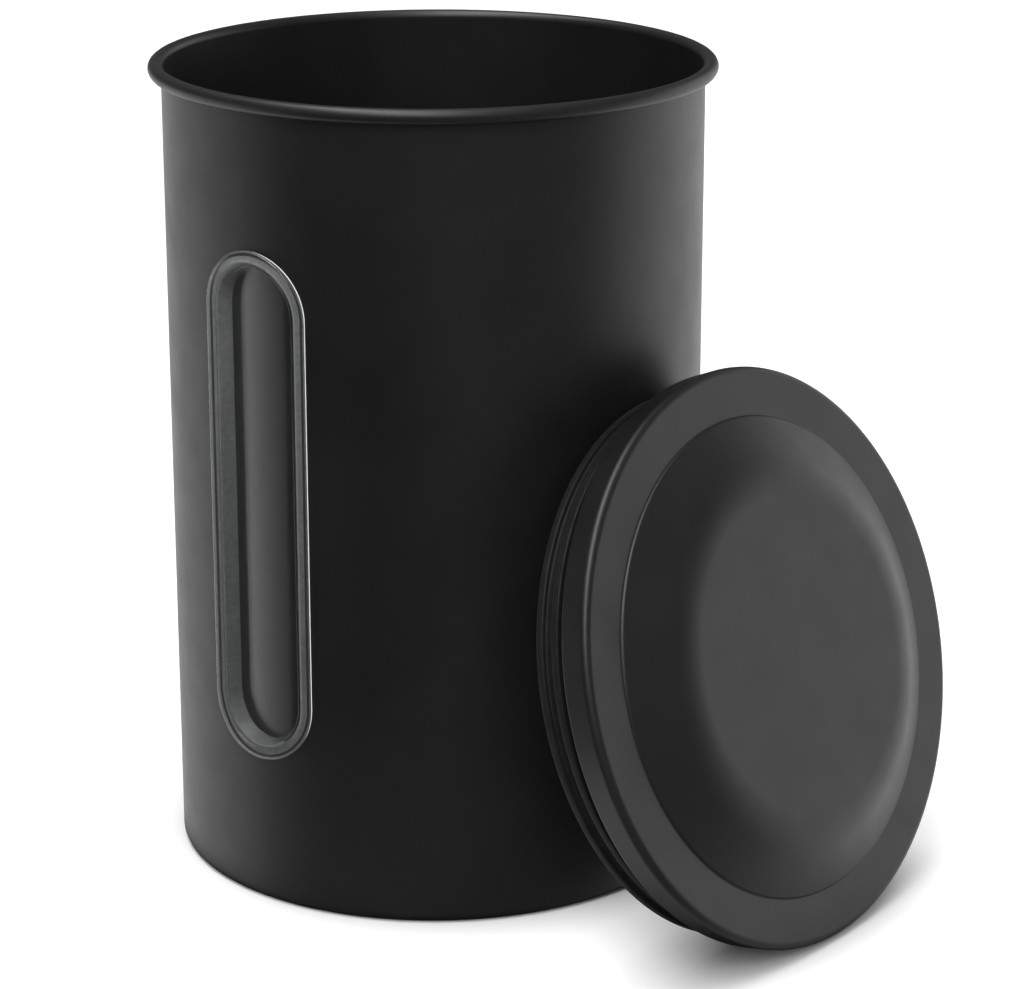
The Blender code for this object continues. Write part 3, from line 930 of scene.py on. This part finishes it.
# %% Make the floor glow for the camera
FLOOR_TONE = 0.58
FLOOR_GLOW = 0.5
GLOW_REACH = 0.03
GLOW_SHADE = (0.3, 1.0)

floor_finish, tree, shader, place = new_finish("pale_floor")
shader.inputs["Base Color"].default_value = (FLOOR_TONE, FLOOR_TONE, FLOOR_TONE, 1)
shader.inputs["Roughness"].default_value = 1
shader.inputs["Specular IOR Level"].default_value = 0
shader.inputs["Emission Color"].default_value = (1, 1, 1, 1)
rays = tree.nodes.new("ShaderNodeLightPath")
around = add_node(tree, "ShaderNodeAmbientOcclusion", Distance=GLOW_REACH)
glow = calculate(tree, "MULTIPLY", rise(tree, around.outputs["AO"], *GLOW_SHADE), FLOOR_GLOW)
glow = calculate(tree, "MULTIPLY", rays.outputs["Is Camera Ray"], glow)
tree.links.new(glow, shader.inputs["Emission Strength"])

# %% [markdown]
# Reflections pass the floor, because a coat this dark would otherwise mirror nothing else. Only
# close to the foot, and farther out on the lid's side, do they find it black. That is a painted
# shadow: it stands for the floor's shade as the coat mirrors it, grounds the object and keeps the
# lid's edge from outshining the rest.

# %% Hide the floor from reflections, except for its painted shadow
CONTACT_REACH = 0.012
MIRROR_REACH = 0.09
MIRROR_SHADE = (0.4, 0.95)
MIRROR_SIDE = (0.02, 0.08)

contact = add_node(tree, "ShaderNodeAmbientOcclusion", Distance=CONTACT_REACH)
nearby = add_node(tree, "ShaderNodeAmbientOcclusion", Distance=MIRROR_REACH)
side = add_node(tree, "ShaderNodeSeparateXYZ")
tree.links.new(place, side.inputs["Vector"])
shade = calculate(tree, "SUBTRACT", 1.0, rise(tree, nearby.outputs["AO"], *MIRROR_SHADE))
shade = calculate(tree, "MULTIPLY", shade, rise(tree, side.outputs["X"], *MIRROR_SIDE))
painted_contact_shadow = calculate(tree, "SUBTRACT", 1.0, rise(tree, contact.outputs["AO"], *MIRROR_SHADE))
shade = calculate(tree, "MAXIMUM", shade, painted_contact_shadow)
# Black for reflections where the floor lies in shade: a painted shadow, mirrored in the coat.
painted_floor_shadow = add_node(tree, "ShaderNodeBsdfDiffuse", Color=(0, 0, 0, 1))
passed = tree.nodes.new("ShaderNodeBsdfTransparent")
mirrored = tree.nodes.new("ShaderNodeMixShader")
tree.links.new(calculate(tree, "SUBTRACT", 1.0, shade), mirrored.inputs[0])
tree.links.new(painted_floor_shadow.outputs["BSDF"], mirrored.inputs[1])
tree.links.new(passed.outputs["BSDF"], mirrored.inputs[2])
floor_look = tree.nodes.new("ShaderNodeMixShader")
tree.links.new(rays.outputs["Is Glossy Ray"], floor_look.inputs[0])
tree.links.new(shader.outputs["BSDF"], floor_look.inputs[1])
tree.links.new(mirrored.outputs["Shader"], floor_look.inputs[2])
tree.links.new(floor_look.outputs["Shader"], tree.nodes["Material Output"].inputs["Surface"])
floor_mesh.materials.append(floor_finish)

# %% [markdown]
# A photographer keeps a part of the set out of a gloss with a flag, a piece of black card on a
# stand. This one stands low in front of the canister. Only reflections see it: it keeps the side of
# the lid, with its skirt and seal, almost black.

# %% Stand a black flag in front
FLAG_PLACE = (0.005, -0.15, 0.1)
FLAG_SIZE = (0.15, 0.2)
CARD_TONE = 0.01

flag_form = bmesh.new()
bmesh.ops.create_grid(flag_form, x_segments=1, y_segments=1, size=0.5)
bmesh.ops.scale(flag_form, verts=flag_form.verts, vec=(*FLAG_SIZE, 1))
upright = Matrix.Rotation(math.pi / 2, 3, "X")
bmesh.ops.rotate(flag_form, verts=flag_form.verts, cent=(0, 0, 0), matrix=upright)
bmesh.ops.translate(flag_form, verts=flag_form.verts, vec=FLAG_PLACE)
flag_mesh = bpy.data.meshes.new("flag")
flag_form.to_mesh(flag_mesh)
flag_form.free()
flag_finish, tree, shader, place = new_finish("black_card")
shader.inputs["Base Color"].default_value = (CARD_TONE, CARD_TONE, CARD_TONE, 1)
shader.inputs["Roughness"].default_value = 1
flag_mesh.materials.append(flag_finish)
flag = bpy.data.objects.new("flag", flag_mesh)
scene.collection.objects.link(flag)
flag.visible_camera = False
flag.visible_diffuse = False
flag.visible_shadow = False

# %% [markdown]
# ## Room
# Reflections make this picture: a black coat shows little but what it mirrors. So the room is
# bright behind and beside the canister, and dark in front of it, where a photographer hangs black
# cloth that leans in overhead. Higher up, the white stays only on the right, as if from a tall
# window there. All this is painted on the world by direction: how far one looks to the front, to
# the right and upwards.

# %% Directions in the room
def along(tree, direction, way):
    """How far a direction points a given way, from -1 to 1."""
    node = add_node(tree, "ShaderNodeVectorMath")
    node.operation = "DOT_PRODUCT"
    node.inputs[1].default_value = way
    tree.links.new(direction, node.inputs[0])
    return node.outputs["Value"]

# %% Paint the walls of the room
ROOM_BRIGHT = 1.12
ROOM_TO_RIGHT = 0.10
CLOTH_EDGE = math.cos(math.radians(66))
WHITE_EDGE = math.cos(math.radians(104))
CLOTH_OVERHEAD = 0.8
CLOTH_RISE = (0.1, 0.6)
WALL_TOP = (-0.22, 0.08)
WINDOW_SIDE = (0.35, 0.7)

room = bpy.data.worlds.new("room")
scene.world = room
room.use_nodes = True
tree = room.node_tree
direction = tree.nodes.new("ShaderNodeTexCoord").outputs["Generated"]
to_front = along(tree, direction, towards_camera)
to_right = along(tree, direction, (math.cos(CAMERA_AZIMUTH), math.sin(CAMERA_AZIMUTH), 0))
upwards = along(tree, direction, (0, 0, 1))
overhead = calculate(tree, "MULTIPLY", rise(tree, upwards, *CLOTH_RISE), CLOTH_OVERHEAD)
to_cloth = calculate(tree, "ADD", to_front, overhead)
walls = calculate(tree, "SUBTRACT", 1.0, rise(tree, to_cloth, WHITE_EDGE, CLOTH_EDGE))
bright = calculate(tree, "ADD", ROOM_BRIGHT, calculate(tree, "MULTIPLY", to_right, ROOM_TO_RIGHT))
walls = calculate(tree, "MULTIPLY", walls, bright)
dark_side = calculate(tree, "SUBTRACT", 1.0, rise(tree, to_right, *WINDOW_SIDE))
shade = calculate(tree, "MULTIPLY", rise(tree, upwards, *WALL_TOP), dark_side)
walls = calculate(tree, "MULTIPLY", walls, calculate(tree, "SUBTRACT", 1.0, shade))
print("room with", len(tree.nodes), "nodes so far")

# %% [markdown]
# A long soft light hangs overhead, from back to front, and leans a little to the left: it draws the
# fine lines on the rim and on the lid's edge. A low even light fills what is left of the dark. The
# camera sees plain white.

# %% Hang the long light
ROOM_DARK = 0.14
STRIP_BRIGHT = 7.5
STRIP_LEFT = 0.25
STRIP_CORE = 0.06
STRIP_EDGE = 0.32
STRIP_LOW = (0.2, 0.85)
STRIP_BACK = (-0.6, -0.1)

off_strip = calculate(tree, "ADD", to_right, calculate(tree, "MULTIPLY", upwards, STRIP_LEFT))
off_strip = calculate(tree, "ABSOLUTE", off_strip)
strip = calculate(tree, "SUBTRACT", 1.0, rise(tree, off_strip, STRIP_CORE, STRIP_EDGE))
strip = calculate(tree, "MULTIPLY", strip, rise(tree, upwards, *STRIP_LOW))
strip = calculate(tree, "MULTIPLY", strip, rise(tree, to_front, *STRIP_BACK))
strip = calculate(tree, "MULTIPLY", strip, STRIP_BRIGHT)
lit = calculate(tree, "ADD", ROOM_DARK, calculate(tree, "ADD", walls, strip))
rays = tree.nodes.new("ShaderNodeLightPath")
seen = tree.nodes.new("ShaderNodeMix")
seen.inputs["B"].default_value = 1
tree.links.new(rays.outputs["Is Camera Ray"], seen.inputs["Factor"])
tree.links.new(lit, seen.inputs["A"])
background = tree.nodes["Background"]
background.inputs["Color"].default_value = (1, 1, 1, 1)
tree.links.new(seen.outputs["Result"], background.inputs["Strength"])
print("room with", len(tree.nodes), "nodes")

# %% [markdown]
# Large soft lamps give the floor its light and the object its shadow. They don't show in
# reflections, which stay the room's alone. Small lamps would be simpler to aim, but their shadows
# are hard, and those in the photograph are soft.

# %% Hang the lamps
def hang_lamp(name, place, size, watts):
    """A square soft lamp that points at the middle of the object."""
    lamp_data = bpy.data.lights.new(name, "AREA")
    lamp_data.shape = "SQUARE"
    lamp_data.size = size
    lamp_data.energy = watts
    lamp = bpy.data.objects.new(name, lamp_data)
    lamp.location = place
    aim = Vector((0, 0, CAN_HEIGHT / 2)) - lamp.location
    lamp.rotation_euler = aim.to_track_quat("-Z", "Y").to_euler()
    lamp.visible_glossy = False
    scene.collection.objects.link(lamp)
    print(name, watts, "watts")


hang_lamp("lamp_top", (0, 0, 2.0), 1.4, 6)
hang_lamp("lamp_front", (0.9, -0.7, 0.7), 0.8, 9)
hang_lamp("lamp_left", (-1.4, -0.4, 0.9), 1.2, 2)

# %% [markdown]
# ## Last checks
# The new skin has to stay inside the box of the solids.

# %% Compare the boxes and finish
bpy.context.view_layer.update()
for node, piece in (("can_body", can_wall), ("lid_cover", lid_dome), ("lid_seal", lid_gasket)):
    solid_low, solid_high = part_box(node)
    skin = [piece.matrix_world @ Vector(corner) for corner in piece.bound_box]
    skin_low = Vector([min(corner[axis] for corner in skin) for axis in range(3)])
    skin_high = Vector([max(corner[axis] for corner in skin) for axis in range(3)])
    gaps = (*(skin_low - solid_low), *(skin_high - solid_high))
    gaps = [round(1000 * gap, 2) for gap in gaps]
    print(piece.name, "off its solid's box by", gaps, "mm")
